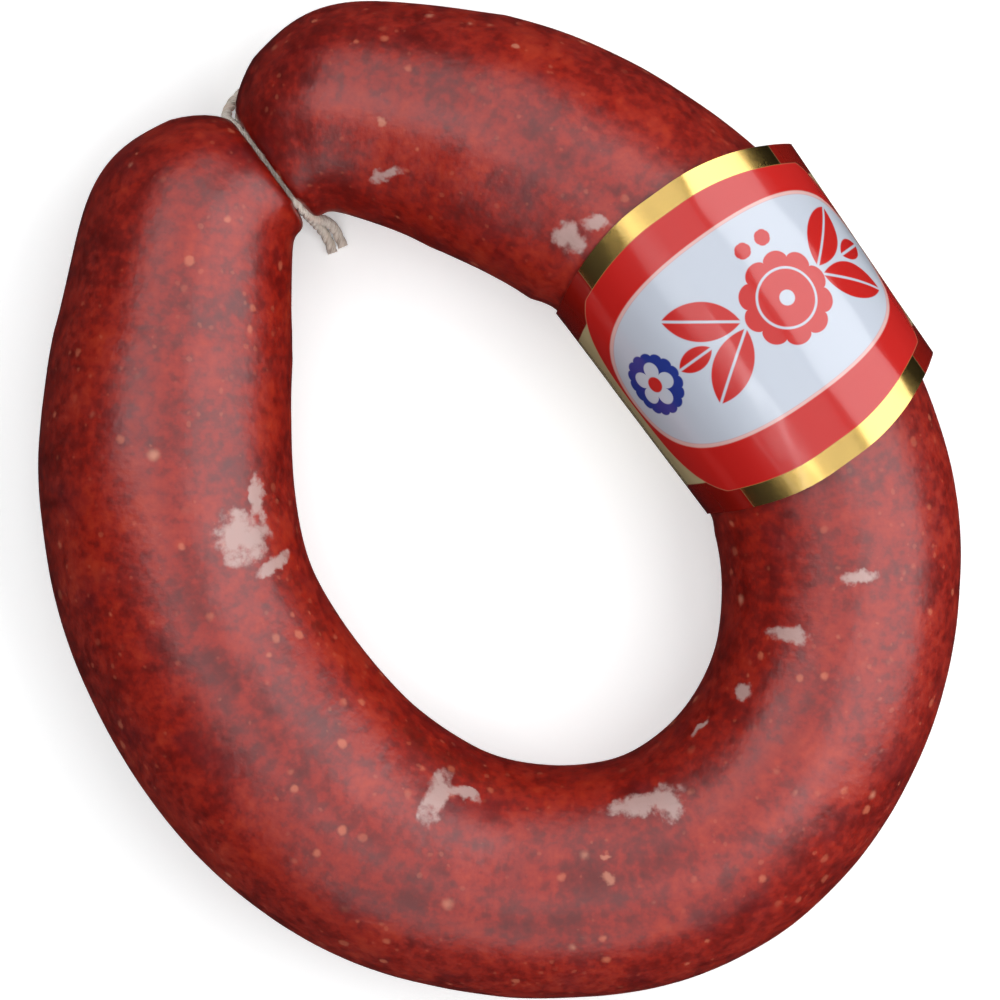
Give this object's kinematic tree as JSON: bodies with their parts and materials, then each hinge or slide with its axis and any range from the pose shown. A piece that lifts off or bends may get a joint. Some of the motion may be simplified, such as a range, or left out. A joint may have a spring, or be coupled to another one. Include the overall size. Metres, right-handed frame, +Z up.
{
  "type": "ring of cured sausage",
  "caption": "Ring of dry-cured sausage in a natural casing, its two ends tied together with doubled twine, with a foil label wrapped round one side.",
  "frame": {"origin": "on the surface that the ring lies on, under the middle of the part's box", "axes": "+Z up from that surface, +Y along the ring's longer way towards its tied ends, +X to the right, with the label on the +X side"},
  "size_m": [0.1528, 0.1656, 0.0421],
  "materials": {
    "sausage": "semi-gloss cured meat under natural casing",
    "label": "printed gloss metallised paper",
    "twine": "matt twisted cotton"
  },
  "bodies": {
    "root": {"sausage": "sausage", "foil_label": "label", "left_neck_tie": "twine", "right_neck_tie": "twine", "hanging_twine": "twine"}
  },
  "joints": []
}
